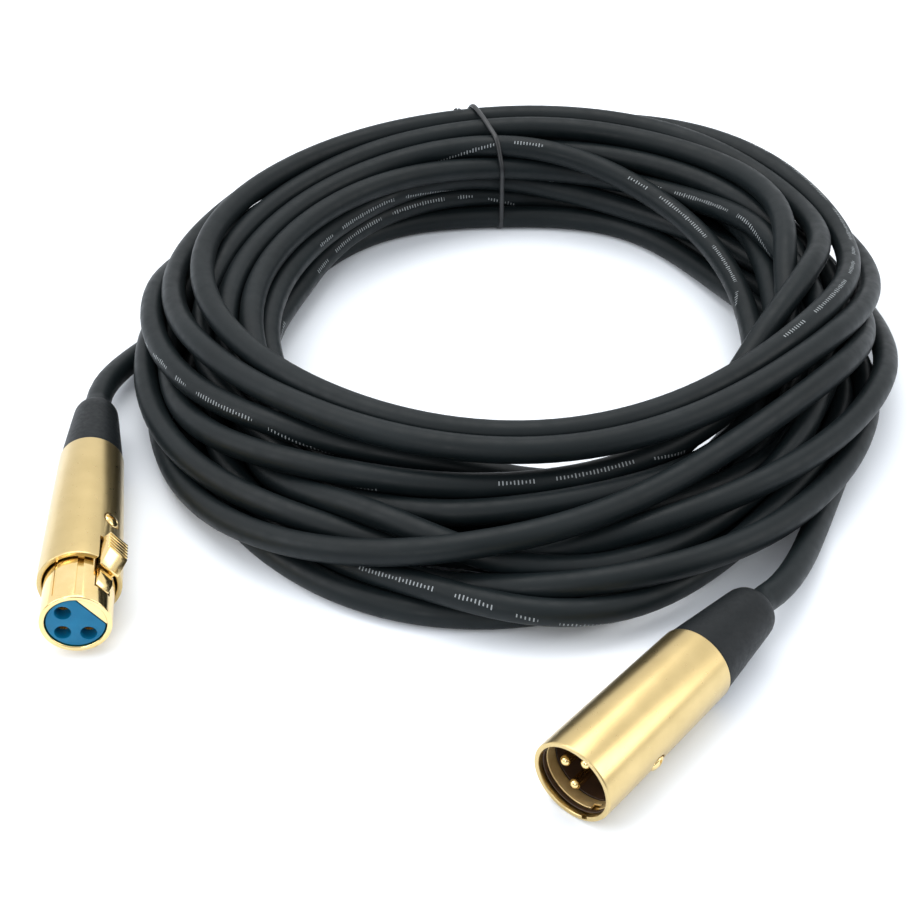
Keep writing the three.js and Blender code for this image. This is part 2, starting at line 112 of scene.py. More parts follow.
camera_data = bpy.data.cameras.new("camera")
camera_data.lens = 71.71
camera_data.sensor_width = 36
camera_data.sensor_fit = "HORIZONTAL"
camera_data.clip_start = 0.01
camera = bpy.data.objects.new("camera", camera_data)
camera.location = (CENTRE + CAMERA_PLACE) * MM
camera.rotation_euler = (math.radians(90 - CAMERA_DOWN), 0, 0)
bpy.context.scene.collection.objects.link(camera)
bpy.context.scene.camera = camera
bpy.context.scene.view_settings.view_transform = "Standard"


# ---- the cord's route ------------------------------------------------------------------------

# The turns are numbered from the female plug to the male. Each station is a bearing round the
# coil, in degrees. It gives each layer, from the floor up, as the radius of its innermost turn
# and the turns from inside to outside, a cord's width apart. None leaves a place empty.
LAYER_HEIGHTS = (3.2, 8.8, 14.4, 20.0, 25.6)
STATIONS = {
    165: (
        (76, [1, 2, 0, 16]),
        (68.5, [3, 4, 6, 15, 11, 14]),
        (71, [5, None, 8, None, 12]),
        (71.5, [7, 9, 10]),
        (90, [13]),
    ),
    132: (
        (79, [1, 2, 0, 16]),
        (79, [3, 4, 15, 14]),
        (73, [5, 6, 8, None, 11]),
        (74.5, [7, 9, 10, None, 12]),
        (92, [13]),
    ),
    98: (
        (84, [1, 0, 16]),
        (79.5, [3, 2, 4, 15]),
        (81, [5, 6, 14]),
        (75, [7, 8, 11, 12]),
        (79.5, [9, 10, 13]),
    ),
    60: (
        (78, [1, 3, 0, 16]),
        (75, [5, 2, 4, 6, 15]),
        (76, [9, 7, None, 14]),
        (82, [8, None, 11]),
        (88, [10, 13, 12]),
    ),
    20: (
        (66, [1, 3, 2, 16, 15]),
        (72, [4, 5, 0, 14]),
        (61.5, [9, None, 7, 8, 6, None, 11]),
        (81, [10, 13, 12]),
    ),
    345: (
        (68, [2, 0, 1, 16]),
        (62, [9, 4, 6, 3, 5]),
        (60, [13, 10, 8, 7, None, 15]),
        (83, [14]),
        (70.5, [12, 11]),
    ),
    310: (
        (67, [2, 8, 0, 1, 16]),
        (60.5, [13, 4, 6, 7, 3, 5]),
        (66, [10, 9, None, 15]),
        (73, [14]),
        (60.5, [12, 11]),
    ),
    270: (
        (69, [2, 8, 0, None, 1]),
        (61.5, [13, 4, 6, None, 15, 7, 5, 3]),
        (67, [10, 9, None, 14]),
        (),
        (62, [12, 11]),
    ),
    235: (
        (65, [2, 8, 0, 5, 3, 1]),
        (67.5, [4, 6, 9, 7, 15, 14]),
        (68.5, [13, None, 10]),
        (),
        (65.5, [12, 11]),
    ),
    200: (
        (72, [0, 7, 5, 1, 14]),
        (74, [2, 8, 3, 10, 15]),
        (71, [4, 6, 9, 13]),
        (81, [11]),
        (75.5, [12]),
    ),
}
TURNS = 17
FIRST_BEARING = 190  # where the turns are counted from, clockwise seen from above

# Places between each plug and the coil: distance from the coil's centre, bearing and height.
FEMALE_LEAD = [(108.5, 183.5, 5.6), (102, 173, 4.2)]
MALE_LEAD = [(105.5, -57, 6.6)]

STEP = 4.0  # between the points of the cord
PINNED = 3  # points at each end that stay on the plug's axis
PLAN_POINTS = 450  # in each turn, before they are spaced evenly
LEAD_POINTS = 24  # between a boot and the coil

# How the turns are pushed apart.
RELAX_STEPS = 600
SPACING = 2 * CABLE_R + 0.05
SEARCH_EVERY = 8  # steps
SEARCH_MARGIN = 5.0
SAME_STRETCH = 8  # points this near along the cord don't push each other
OVERPUSH = 1.6
HOLD_AT_FIRST, HOLD_AT_LAST = 0.03, 0.001  # pull towards the plan, in each step
STIFFNESS = ((3, 0.02), (1, 0.05))  # points on each side, and how hard they straighten the cord


def round_coil(radius, bearing, height):
    turn = np.radians(bearing)
    return np.stack(
        [CENTRE.x + radius * np.cos(turn), CENTRE.y + radius * np.sin(turn), height], axis=-1
    )


def smooth_line(at, values, wanted):
    """Smooth line through values, given at the places `at`, read at the places `wanted`."""
    slope = np.empty_like(values)
    slope[1:-1] = (values[2:] - values[:-2]) / (at[2:] - at[:-2])[:, None]
    slope[0] = (values[1] - values[0]) / (at[1] - at[0])
    slope[-1] = (values[-1] - values[-2]) / (at[-1] - at[-2])
    i = np.clip(np.searchsorted(at, wanted, side="right") - 1, 0, len(at) - 2)
    span = (at[i + 1] - at[i])[:, None]
    t = (wanted - at[i])[:, None] / span
    return (
        (2 * t**3 - 3 * t**2 + 1) * values[i]
        + (t**3 - 2 * t**2 + t) * span * slope[i]
        + (3 * t**2 - 2 * t**3) * values[i + 1]
        + (t**3 - t**2) * span * slope[i + 1]
    )


def even(points, step):
    """The same line with its points evenly spaced."""
    along = np.r_[0, np.cumsum(np.linalg.norm(np.diff(points, axis=0), axis=1))]
    wanted = np.linspace(0, along[-1], int(round(along[-1] / step)) + 1)
    return np.stack([np.interp(wanted, along, points[:, c]) for c in range(3)], axis=1)


def planned_route():
    """The cord through every place that the stations give it, before it is pushed apart."""
    places = []
    for bearing, layers in STATIONS.items():
        for height, layer in zip(LAYER_HEIGHTS, layers):
            if layer:
                first, turns = layer
                for column, turn in enumerate(turns):
                    if turn is not None:
                        turned = (FIRST_BEARING - bearing) % 360 + 360 * turn
                        places.append((turned, first + 2 * CABLE_R * column, height))
    last = 360 * (TURNS - 1)
    for radius, bearing, height in FEMALE_LEAD:
        places.append((FIRST_BEARING - bearing, radius, height))
    for radius, bearing, height in MALE_LEAD:
        places.append((FIRST_BEARING - bearing + last, radius, height))
    places = np.array(sorted(places))
    turned = np.linspace(places[0, 0], places[-1, 0], TURNS * PLAN_POINTS)
    ring = smooth_line(places[:, 0], places[:, 1:], turned)
    coil = round_coil(ring[:, 0], FIRST_BEARING - turned, ring[:, 1])
    return even(np.vstack([lead_in(FEMALE, FEMALE_BOOT_END, coil[:2]), coil,
                           lead_in(MALE, MALE_BOOT_END, coil[:-3:-1])[::-1]]), STEP)


def lead_in(plug, boot_end, towards):
    """Smooth line from a boot's end, straight out at first, to the given stretch of cord."""
    start = np.array(plug @ Vector((0, boot_end - 0.1, 0))) / MM
    ahead = np.array(plug.to_3x3() @ Vector((0, 1, 0))) / MM
    span = np.linalg.norm(towards[0] - start)
    end_slope = (towards[1] - towards[0]) / np.linalg.norm(towards[1] - towards[0]) * span
    t = np.linspace(0, 1, LEAD_POINTS)[:-1, None]
    return (
        (2 * t**3 - 3 * t**2 + 1) * start
        + (t**3 - 2 * t**2 + t) * ahead * span
        + (3 * t**2 - 2 * t**3) * towards[0]
        + (t**3 - t**2) * end_slope
    )


def relaxed(points, steps):
    """Pushes the turns apart to a cord's width, with the cord's stiffness, above the floor."""
    plan = points.copy()
    count = len(points)
    fixed = np.zeros(count, bool)
    fixed[:PINNED] = True
    fixed[-PINNED:] = True
    for step in range(steps):
        if step % SEARCH_EVERY == 0:
            square = (points**2).sum(1)
            apart = square[:, None] + square[None, :] - 2 * points @ points.T
            one, other = np.where(apart < (SPACING + SEARCH_MARGIN) ** 2)
            far = np.abs(one - other) > SAME_STRETCH
            one, other = one[far], other[far]
        ahead = np.empty_like(points)
        ahead[1:-1] = points[2:] - points[:-2]
        ahead[0] = points[1] - points[0]
        ahead[-1] = points[-1] - points[-2]
        ahead /= np.linalg.norm(ahead, axis=1)[:, None]
        offset = points[one] - points[other]
        along = (offset * ahead[other]).sum(1)
        across = offset - along[:, None] * ahead[other]
        distance = np.linalg.norm(across, axis=1)
        hit = (np.abs(along) <= STEP * 0.75) & (distance < SPACING)
        i, j, gap = one[hit], other[hit], distance[hit]
        away = across[hit] / np.maximum(gap, 1e-6)[:, None]
        push = away * ((SPACING - gap) * 0.5)[:, None]
        move = np.zeros_like(points)
        touched = np.zeros(count)
        np.add.at(move, i, push)
        np.add.at(move, j, -push)
        np.add.at(touched, i, 1)
        np.add.at(touched, j, 1)
        points = points + move / np.maximum(touched, 1)[:, None] * OVERPUSH
        hold = HOLD_AT_FIRST * (1 - step / steps) ** 2 + HOLD_AT_LAST
        points = points + hold * (plan - points)
        for reach, stiffness in STIFFNESS:
            bend = np.zeros_like(points)
            bend[2 * reach:-2 * reach] = (
                points[:-4 * reach]
                - 4 * points[reach:-3 * reach]
                + 6 * points[2 * reach:-2 * reach]
                - 4 * points[3 * reach:-reach]
                + points[4 * reach:]
            )
            points = points - stiffness * bend
        points[:, 2] = np.maximum(points[:, 2], CABLE_R)
        points[fixed] = plan[fixed]
    return points


ROUTE = relaxed(planned_route(), RELAX_STEPS)


# ---- mesh helpers ----------------------------------------------------------------------------

SIDES = 96


def new_object(name, mesh):
    made = bpy.data.objects.new(name, mesh)
    bpy.context.scene.collection.objects.link(made)
    return made


def mesh_of(vertices, faces):
    mesh = bpy.data.meshes.new("mesh")
    mesh.from_pydata([tuple(v) for v in vertices], [], faces)
    bm = bmesh.new()
    bm.from_mesh(mesh)
    bmesh.ops.recalc_face_normals(bm, faces=bm.faces)
    bm.to_mesh(mesh)
    bm.free()
    return mesh


def rounded(profile, radius, steps=4):
    """The profile with its sharp corners rounded off."""
    closed = profile[0] == profile[-1]
    points = [Vector(p) for p in (profile[:-1] if closed else profile)]
    made = []
    for i, corner in enumerate(points):
        before = points[i - 1] - corner
        after = points[(i + 1) % len(points)] - corner
        at_end = not closed and i in (0, len(points) - 1)
        if at_end or before.angle(after) > math.radians(165):
            made.append(corner)
            continue
        reach = min(radius, before.length * 0.42, after.length * 0.42)
        first = corner + before.normalized() * reach
        last = corner + after.normalized() * reach
        for k in range(steps + 1):
            t = k / steps
            made.append(first * (1 - t) ** 2 + corner * 2 * t * (1 - t) + last * t**2)
    made = [tuple(p) for p in made]
    return made + made[:1] if closed else made


def turned(profile, sides=SIDES):
    """Piece turned round the Y axis from (radius, y) points.

    The profile is either a closed ring or starts and ends on the axis.
    """
    closed = profile[0] == profile[-1]
    rows = []
    vertices = []
    for radius, y in profile[:-1] if closed else profile:
        if radius < 1e-6:
            rows.append([len(vertices)] * sides)
            vertices.append((0, y, 0))
            continue
        rows.append(list(range(len(vertices), len(vertices) + sides)))
        for k in range(sides):
            angle = 2 * math.pi * k / sides
            vertices.append((radius * math.cos(angle), y, radius * math.sin(angle)))
    faces = []
    pairs = list(zip(rows, rows[1:])) + ([(rows[-1], rows[0])] if closed else [])
    for low, high in pairs:
        for k in range(sides):
            n = (k + 1) % sides
            face = []
            for vertex in (low[k], low[n], high[n], high[k]):
                if vertex not in face:
                    face.append(vertex)
            faces.append(face)
    return new_object("turned", mesh_of(vertices, faces))


def tube(outer, inner, y0, y1, edge=0.15, sides=SIDES):
    ring = [(outer, y0), (outer, y1), (inner, y1), (inner, y0), (outer, y0)]
    return turned(rounded(ring, edge), sides)


def rod(radius, y0, y1, sides=32):
    return turned([(0, y0), (radius, y0), (radius, y1), (0, y1)], sides)


def moved(piece, matrix):
    piece.data.transform(matrix)
    return piece


def post(radius, z0, z1, y=0, sides=32):
    """Upright rod."""
    upright = Matrix.Rotation(math.pi / 2, 4, "X")
    return moved(rod(radius, z0, z1, sides), Matrix.Translation((0, y, 0)) @ upright)


def plate(outline, width):
    """Plate with the side view (y, z), centred on x = 0."""
    half = width / 2
    vertices = [(-half, y, z) for y, z in outline] + [(half, y, z) for y, z in outline]
    count = len(outline)
    faces = [list(range(count)), list(range(2 * count - 1, count - 1, -1))]
    for k in range(count):
        n = (k + 1) % count
        faces.append([k, k + count, n + count, n])
    return new_object("plate", mesh_of(vertices, faces))


def block(x0, x1, y0, y1, z0, z1):
    return moved(plate([(y0, z0), (y1, z0), (y1, z1), (y0, z1)], x1 - x0),
                 Matrix.Translation(((x0 + x1) / 2, 0, 0)))


def apply_modifiers(piece):
    depsgraph = bpy.context.evaluated_depsgraph_get()
    mesh = bpy.data.meshes.new_from_object(piece.evaluated_get(depsgraph))
    piece.modifiers.clear()
    piece.data = mesh
    return piece


def combined(base, tools, operation):
    for tool in tools:
        modifier = base.modifiers.new("boolean", "BOOLEAN")
        modifier.object = tool
        modifier.operation = operation
        modifier.solver = "EXACT"
    apply_modifiers(base)
    for tool in tools:
        bpy.data.objects.remove(tool)
    return base


def cut(base, *tools):
    return combined(base, tools, "DIFFERENCE")


def joined(base, *tools):
    return combined(base, tools, "UNION")


def softened(piece, width, segments=2, angle=38):
    """Rounds the piece's sharp edges off by the given width."""
    modifier = piece.modifiers.new("bevel", "BEVEL")
    modifier.width = width
    modifier.segments = segments
    modifier.limit_method = "ANGLE"
    modifier.angle_limit = math.radians(angle)
    modifier.use_clamp_overlap = True
    return apply_modifiers(piece)


def finished(piece, name, place, material, body="cable", nodes=None, edge=35):
    """Puts a piece in its place, names it, gives it its materials and body, and hides the CAD pieces that
    it replaces.
    """
    piece.name = name
    piece.data.name = name
    piece.data.transform(place)
    piece.data.materials.clear()
    for each in material if isinstance(material, (list, tuple)) else [material]:
        piece.data.materials.append(each)
    for polygon in piece.data.polygons:
        polygon.use_smooth = True
    piece.data.set_sharp_from_angle(angle=math.radians(edge))
    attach(piece, body)
    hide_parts(*(nodes or [name.replace("_detail", "")]))
    return piece


def swept(line, section, name):
    """Solid of the given section along the line. `section` holds (up, outward) pairs."""
    line = np.asarray(line, float)
    ahead = np.gradient(line, axis=0)
    ahead /= np.linalg.norm(ahead, axis=1)[:, None]
    up = np.array([0, 0, 1.0]) - ahead[:, 2:3] * ahead
    up /= np.linalg.norm(up, axis=1)[:, None]
    outward = np.cross(up, ahead)
    count, sides = len(line), len(section)
    vertices = (
        line[:, None, :]
        + np.array([s[0] for s in section])[None, :, None] * up[:, None, :]
        + np.array([s[1] for s in section])[None, :, None] * outward[:, None, :]
    ).reshape(-1, 3)
    faces = []
    for i in range(count - 1):
        for k in range(sides):
            n = (k + 1) % sides
            row = i * sides
            faces.append((row + k, row + n, row + sides + n, row + sides + k))
    faces.append(tuple(range(sides)))
    faces.append(tuple(range(count * sides - 1, (count - 1) * sides - 1, -1)))
    mesh = bpy.data.meshes.new(name)
    mesh.from_pydata(vertices.tolist(), [], faces)
    return new_object(name, mesh)


# ---- materials -------------------------------------------------------------------------------

def nodes_for(name):
    material = bpy.data.materials.new(name)
    material.use_nodes = True
    tree = material.node_tree
    shader = tree.nodes["Principled BSDF"]
    return material, tree, shader


def add(tree, kind, **values):
    """New node. A value goes to the input or property of that name."""
    node = tree.nodes.new(kind)
    for key, value in values.items():
        if key in node.inputs:
            node.inputs[key].default_value = value
        else:
            setattr(node, key, value)
    return node


def noise(tree, size, detail=3, roughness=0.5):
    """Noise whose grains are about `size` millimetres, fixed to the object."""
    place = add(tree, "ShaderNodeTexCoord")
    texture = add(tree, "ShaderNodeTexNoise", Scale=1 / (size * MM), Detail=detail, Roughness=roughness)
    tree.links.new(place.outputs["Object"], texture.inputs["Vector"])
    return texture.outputs["Fac"]


def ramp(tree, source, stops, interpolation="LINEAR"):
    node = add(tree, "ShaderNodeValToRGB")
    band = node.color_ramp
    band.interpolation = interpolation
    while len(band.elements) < len(stops):
        band.elements.new(1)
    for element, (position, colour) in zip(band.elements, stops):
        element.position = position
        element.color = (*colour, 1)
    tree.links.new(source, node.inputs["Fac"])
    return node.outputs["Color"]


def spread(tree, source, low, high):
    node = add(tree, "ShaderNodeMapRange")
    node.inputs["From Min"].default_value = 0.3
    node.inputs["From Max"].default_value = 0.7
    node.inputs["To Min"].default_value = low
    node.inputs["To Max"].default_value = high
    tree.links.new(source, node.inputs["Value"])
    return node.outputs["Result"]


def bumped(tree, shader, layers):
    """Bumps from (height, strength, depth in millimetres) layers, one on another."""
    below = None
    for height, strength, depth in layers:
        bump = add(tree, "ShaderNodeBump", Strength=strength, Distance=depth * MM)
        tree.links.new(height, bump.inputs["Height"])
        if below:
            tree.links.new(below, bump.inputs["Normal"])
        below = bump.outputs["Normal"]
    tree.links.new(below, shader.inputs["Normal"])


def surface(name, dark, light, rough, patch, grains, metallic=0.0, specular=0.5, coat=0.0):
    """Material with patches of two shades, a roughness that varies, and layers of grain.

    `rough` is the lowest and highest roughness, `patch` the size of the patches in millimetres,
    and `grains` holds (size, strength, depth) in millimetres.
    """
    material, tree, shader = nodes_for(name)
    shader.inputs["Metallic"].default_value = metallic
    shader.inputs["Specular IOR Level"].default_value = specular
    shader.inputs["Coat Weight"].default_value = coat
    patches = noise(tree, patch)
    tree.links.new(ramp(tree, patches, [(0.3, dark), (0.7, light)]), shader.inputs["Base Color"])
    fine = noise(tree, patch * 0.22, detail=6, roughness=0.6)
    tree.links.new(spread(tree, fine, *rough), shader.inputs["Roughness"])
    bumped(tree, shader, [(noise(tree, size), strength, depth) for size, strength, depth in grains])
    return material


SATIN_GOLD = surface("satin_gold", (0.58, 0.44, 0.205), (0.64, 0.49, 0.235), (0.27, 0.31), 7,
                     [(0.42, 0.07, 0.02)], metallic=1)
RING_GOLD = surface("ring_gold", (0.92, 0.70, 0.34), (1.0, 0.80, 0.44), (0.45, 0.6), 2,
                    [(0.4, 0.1, 0.01)], metallic=1)
BRIGHT_GOLD = surface("bright_gold", (0.84, 0.62, 0.27), (0.90, 0.69, 0.34), (0.10, 0.19), 5,
                      [(0.8, 0.05, 0.01), (2.5, 0.05, 0.02)], metallic=1)
CONTACT_GOLD = surface("contact_gold", (0.70, 0.50, 0.21), (0.85, 0.64, 0.32), (0.15, 0.3), 1.5,
                       [(0.4, 0.1, 0.01)], metallic=1)
BLUE = surface("blue_plastic", (0.001, 0.125, 0.25), (0.002, 0.15, 0.29), (0.30, 0.44), 4,
               [(0.3, 0.12, 0.02), (2, 0.1, 0.03)], specular=0.25)
# Dark brown: partly the male insulator's own dark plastic, partly painted shade of the unlit inside of
# the male plug's mouth. It also colours the collar and the insulator's cup wall, which stand for that
# shade.
DARK_PLASTIC_AND_SHADE = surface("dark_plastic", (0.030, 0.015, 0.008), (0.055, 0.028, 0.014), (0.35, 0.5), 4,
               [(0.3, 0.15, 0.02)])
RUBBER = surface("boot_rubber", (0.0035, 0.0052, 0.0062), (0.0055, 0.0075, 0.0088), (0.42, 0.6), 5,
                 [(0.25, 0.3, 0.03), (1.5, 0.1, 0.05)], specular=0.2)
CLAMP = surface("clamp_plastic", (0.25, 0.26, 0.28), (0.34, 0.35, 0.37), (0.4, 0.55), 3,
                [(0.3, 0.2, 0.02)])
STEEL = surface("steel", (0.5, 0.51, 0.53), (0.66, 0.67, 0.69), (0.2, 0.35), 2,
                [(0.2, 0.15, 0.01)], metallic=1)
TIE = surface("tie_plastic", (0.006, 0.007, 0.008), (0.016, 0.018, 0.020), (0.3, 0.45), 2,
              [(0.35, 0.3, 0.03)])
WIRES = [
    surface("wire_grey", (0.42, 0.39, 0.34), (0.5, 0.47, 0.42), (0.4, 0.5), 2, [(0.3, 0.1, 0.01)]),
    surface("wire_red", (0.35, 0.02, 0.015), (0.42, 0.03, 0.02), (0.4, 0.5), 2, [(0.3, 0.1, 0.01)]),
    surface("wire_pale", (0.62, 0.6, 0.54), (0.7, 0.68, 0.62), (0.4, 0.5), 2, [(0.3, 0.1, 0.01)]),
]

# The jacket carries a pale printed line of plain upright ticks, in groups, that spell nothing.
TICK_PITCH = 0.9
TICK_HALF_WIDTH = 0.16  # in pitches
TICK_HALF_HEIGHT = (0.3, 0.6)  # shortest and tallest
GROUPS = (8, 24, 20, 6, 10, 22, 10)
GROUP_GAP = 5  # in ticks
PHRASE = 160  # in ticks, from one phrase to the next
MAP_NAME = "along_and_round"


def maths(tree, operation, one, other=None):
    node = add(tree, "ShaderNodeMath", operation=operation)
    for value, socket in ((one, node.inputs[0]), (other, node.inputs[1])):
        if value is None:
            continue
        if isinstance(value, (int, float)):
            socket.default_value = value
        else:
            tree.links.new(value, socket)
    return node.outputs[0]


def close_to(tree, one, other, margin):
    output = maths(tree, "COMPARE", one, other)
    output.node.inputs[2].default_value = margin
    return output


def printed_marks(tree):
    """1 on a tick and 0 elsewhere."""
    place = add(tree, "ShaderNodeUVMap", uv_map=MAP_NAME)
    split = add(tree, "ShaderNodeSeparateXYZ")
    tree.links.new(place.outputs["UV"], split.inputs["Vector"])
    ticks = maths(tree, "DIVIDE", split.outputs["X"], TICK_PITCH * MM)
    phrase = maths(tree, "FRACT", maths(tree, "DIVIDE", ticks, PHRASE))
    stops = [(0, (0, 0, 0))]
    at = GROUP_GAP
    for count in GROUPS:
        stops.append((at / PHRASE, (1, 1, 1)))
        stops.append(((at + count) / PHRASE, (0, 0, 0)))
        at += count + GROUP_GAP
    in_group = ramp(tree, phrase, stops, "CONSTANT")
    stem = close_to(tree, maths(tree, "FRACT", ticks), 0.5, TICK_HALF_WIDTH)
    random = add(tree, "ShaderNodeTexWhiteNoise", noise_dimensions="1D")
    tree.links.new(maths(tree, "FLOOR", ticks), random.inputs["W"])
    shortest, tallest = TICK_HALF_HEIGHT
    half = maths(tree, "MULTIPLY", random.outputs["Value"], tallest - shortest)
    half = maths(tree, "ADD", half, shortest)
    turned_to = maths(tree, "SUBTRACT", maths(tree, "FRACT", split.outputs["Y"]), 0.5)
    height = maths(tree, "MULTIPLY", turned_to, 2 * math.pi * CABLE_R)
    low = maths(tree, "LESS_THAN", maths(tree, "ABSOLUTE", height), half)
    return maths(tree, "MULTIPLY", maths(tree, "MULTIPLY", stem, low), in_group)


def jacket():
    material, tree, shader = nodes_for("jacket")
    shader.inputs["Specular IOR Level"].default_value = 0.2
    shades = [(0.3, (0.0032, 0.0058, 0.0068)), (0.7, (0.0052, 0.0086, 0.0100))]
    shade = ramp(tree, noise(tree, 22), shades)
    mix = add(tree, "ShaderNodeMix", data_type="RGBA")
    tree.links.new(printed_marks(tree), mix.inputs["Factor"])
    tree.links.new(shade, mix.inputs["A"])
    mix.inputs["B"].default_value = (0.24, 0.26, 0.27, 1)
    tree.links.new(mix.outputs["Result"], shader.inputs["Base Color"])
    tree.links.new(spread(tree, noise(tree, 3, 6), 0.40, 0.54), shader.inputs["Roughness"])
    bumped(tree, shader, [(noise(tree, 0.3), 0.2, 0.02), (noise(tree, 4), 0.15, 0.05)])
    return material


JACKET = jacket()


# ---- the cord --------------------------------------------------------------------------------

CORD_SIDES = 20

# Where the printed line faces out of the coil: the turns it does so from and to, counted as the
# stations count them, and its place round the cord there, in degrees from the top outwards.
# Elsewhere it faces down.
PRINT_SHOWN = [
    (3.05, 3.25, 300, 298),
    (3.80, 3.88, 48, 46),
    (5.08, 5.19, 290, 286),
    (7.35, 7.44, 312, 310),
    (9.27, 9.48, 322, 340),
    (10.72, 10.82, 42, 40),
    (12.35, 12.60, 25, 12),
    (13.93, 13.99, 62, 58),
]
PRINT_HIDDEN = 180
PRINT_TURNS_IN = 0.07  # turns that it takes to come round
MAP_LIFT = 4  # whole turns that keep the map's second value above 0


def make_cord():
    """The cord, with its map of metres along it and turns round it, 0.5 at the printed line."""
    circle = [2 * math.pi * k / CORD_SIDES for k in range(CORD_SIDES)]
    section = [(CABLE_R * math.cos(a), CABLE_R * math.sin(a)) for a in circle]
    cord = swept(ROUTE, section, "cord")
    along = np.r_[0, np.cumsum(np.linalg.norm(np.diff(ROUTE, axis=0), axis=1))]
    bearing = np.degrees(np.unwrap(np.arctan2(ROUTE[:, 1] - CENTRE.y, ROUTE[:, 0] - CENTRE.x)))
    turn = (FIRST_BEARING - bearing) / 360
    turn -= round(turn[0])
    side_at = [(0, PRINT_HIDDEN)]
    for start, stop, first, last in PRINT_SHOWN:
        side_at += [(start - PRINT_TURNS_IN, PRINT_HIDDEN), (start, first)]
        side_at += [(stop, last), (stop + PRINT_TURNS_IN, PRINT_HIDDEN)]
    side = np.interp(turn, *zip(*side_at)) / 360
    layer = cord.data.uv_layers.new(name=MAP_NAME)
    values = np.zeros((len(cord.data.loops), 2))
    loop = 0
    for i in range(len(ROUTE) - 1):
        for k in range(CORD_SIDES):
            for row, column in ((i, k), (i, k + 1), (i + 1, k + 1), (i + 1, k)):
                round_it = column / CORD_SIDES - side[row] + 0.5 + MAP_LIFT
                values[loop] = (along[row] * MM, round_it)
                loop += 1
    layer.data.foreach_set("uv", values.ravel())
    cord.data.transform(Matrix.Scale(MM, 4))
    cord.data.materials.append(JACKET)
    for polygon in cord.data.polygons:
        polygon.use_smooth = len(polygon.vertices) == 4
    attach(cord, "cable")
    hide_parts("cable_coil", "cable_lead_female", "cable_lead_male")
    return cord


cord = make_cord()


# ---- the twist tie ---------------------------------------------------------------------------

TIE_WIDE = 0.75  # half its width
TIE_THICK = 0.55  # half its thickness
TIE_GAP = 0.15  # between it and the cord
TIE_MIDDLE = 88  # from the coil's centre
TIE_SLANT = 15  # degrees from straight out
TIE_STEP = 1.2
TIE_SIDES = 12
TAIL_STEP = 0.6
TAIL_POINTS = 16
TAIL_ALONG, TAIL_DOWN = 0.42, 0.06  # from one point to the next
TAIL_TURN = 0.7  # radians from one point to the next
TAIL_SPREAD = 0.75  # of each end from the tail's middle line
TAIL_THICK = TIE_THICK * 1.1


def hull(points):
    """Corners of the tightest loop round the points, anticlockwise."""
    points = sorted(points)
    sides = []
    for order in (points, points[::-1]):
        chain = []
        for p in order:
            while len(chain) > 1:
                (ax, ay), (bx, by) = chain[-2], chain[-1]
                if (bx - ax) * (p[1] - ay) - (by - ay) * (p[0] - ax) > 0:
                    break
                chain.pop()
            chain.append(p)
        sides += chain[:-1]
    return sides


def make_tie():
    """Lines of the tie as (outwards, sideways, height), with its middle and those directions."""
    turn = math.radians(TIE_BEARING)
    direction = np.array([math.cos(turn), math.sin(turn)])
    middle = np.array([CENTRE.x, CENTRE.y]) + TIE_MIDDLE * direction
    turn += math.radians(TIE_SLANT)
    out = np.array([math.cos(turn), math.sin(turn)])
    side = np.array([-out[1], out[0]])
    flat = ROUTE[:, :2] - middle
    off, reach = flat @ side, flat @ out
    near_side = reach[:-1] > -TIE_MIDDLE
    crossing = np.flatnonzero((off[:-1] * off[1:] <= 0) & near_side)
    room = CABLE_R + TIE_THICK + TIE_GAP
    stretch = room / math.cos(math.radians(TIE_SLANT))
    around = []
    for i in crossing:
        for a in np.arange(24) * 2 * math.pi / 24:
            around.append((reach[i] + stretch * math.cos(a), ROUTE[i, 2] + room * math.sin(a)))
    around = [(r, max(z, TIE_THICK)) for r, z in around]
    loop = hull(around)
    start = max(range(len(loop)), key=lambda k: loop[k][0] + loop[k][1] * 0.6)
    loop = loop[start:] + loop[:start] + loop[start:start + 1]
    points = np.array([(r, 0.0, z) for r, z in loop])
    points = even(points, TIE_STEP)
    # Both ends are twisted round each other for a few millimetres outside the loop.
    lines = [points]
    for start in (0, math.pi):
        twist = []
        for k in range(TAIL_POINTS):
            angle = k * TAIL_TURN + start
            apart = TAIL_SPREAD * min(k / 3, 1)
            middle_line = points[0] + np.array([TAIL_ALONG * k, 0, -TAIL_DOWN * k])
            twist.append(middle_line + apart * np.array([0, math.cos(angle), math.sin(angle)]))
        lines.append(even(np.array(twist), TAIL_STEP))
    return lines, middle, out, side


def place_tie():
    """The loop is wide and flat, and its two twisted ends are round."""
    lines, middle, out, side = make_tie()
    bm = bmesh.new()
    for number, line in enumerate(lines):
        count = len(line)
        ahead = np.gradient(line, axis=0)
        closed = number == 0
        wide = TIE_WIDE if closed else TAIL_THICK
        if closed:
            ahead[0] = ahead[-1] = line[1] - line[-2]
        ahead /= np.linalg.norm(ahead, axis=1)[:, None]
        flat = np.array([0, 1.0, 0])
        rings = []
        for p, t in zip(line[:-1] if closed else line, ahead):
            thick = np.cross(t, flat)
            thick /= np.linalg.norm(thick)
            ring = []
            for k in range(TIE_SIDES):
                a = 2 * math.pi * k / TIE_SIDES
                q = p + flat * wide * math.cos(a) + thick * TIE_THICK * math.sin(a)
                xy = middle + out * q[0] + side * q[1]
                ring.append(bm.verts.new((xy[0] * MM, xy[1] * MM, max(q[2], 0.02) * MM)))
            rings.append(ring)
        pairs = list(zip(rings, rings[1:])) + ([(rings[-1], rings[0])] if closed else [])
        for low, high in pairs:
            for k in range(TIE_SIDES):
                n = (k + 1) % TIE_SIDES
                bm.faces.new((low[k], low[n], high[n], high[k]))
        if not closed:
            bm.faces.new(rings[0][::-1])
            bm.faces.new(rings[-1])
    bmesh.ops.recalc_face_normals(bm, faces=bm.faces)
    mesh = bpy.data.meshes.new("tie")
    bm.to_mesh(mesh)
    bm.free()
    tie = new_object("tie", mesh)
    return finished(tie, "tie", Matrix.Identity(4), TIE, nodes=["twist_tie"], edge=60)


place_tie()


# ---- pieces that both plugs have -------------------------------------------------------------

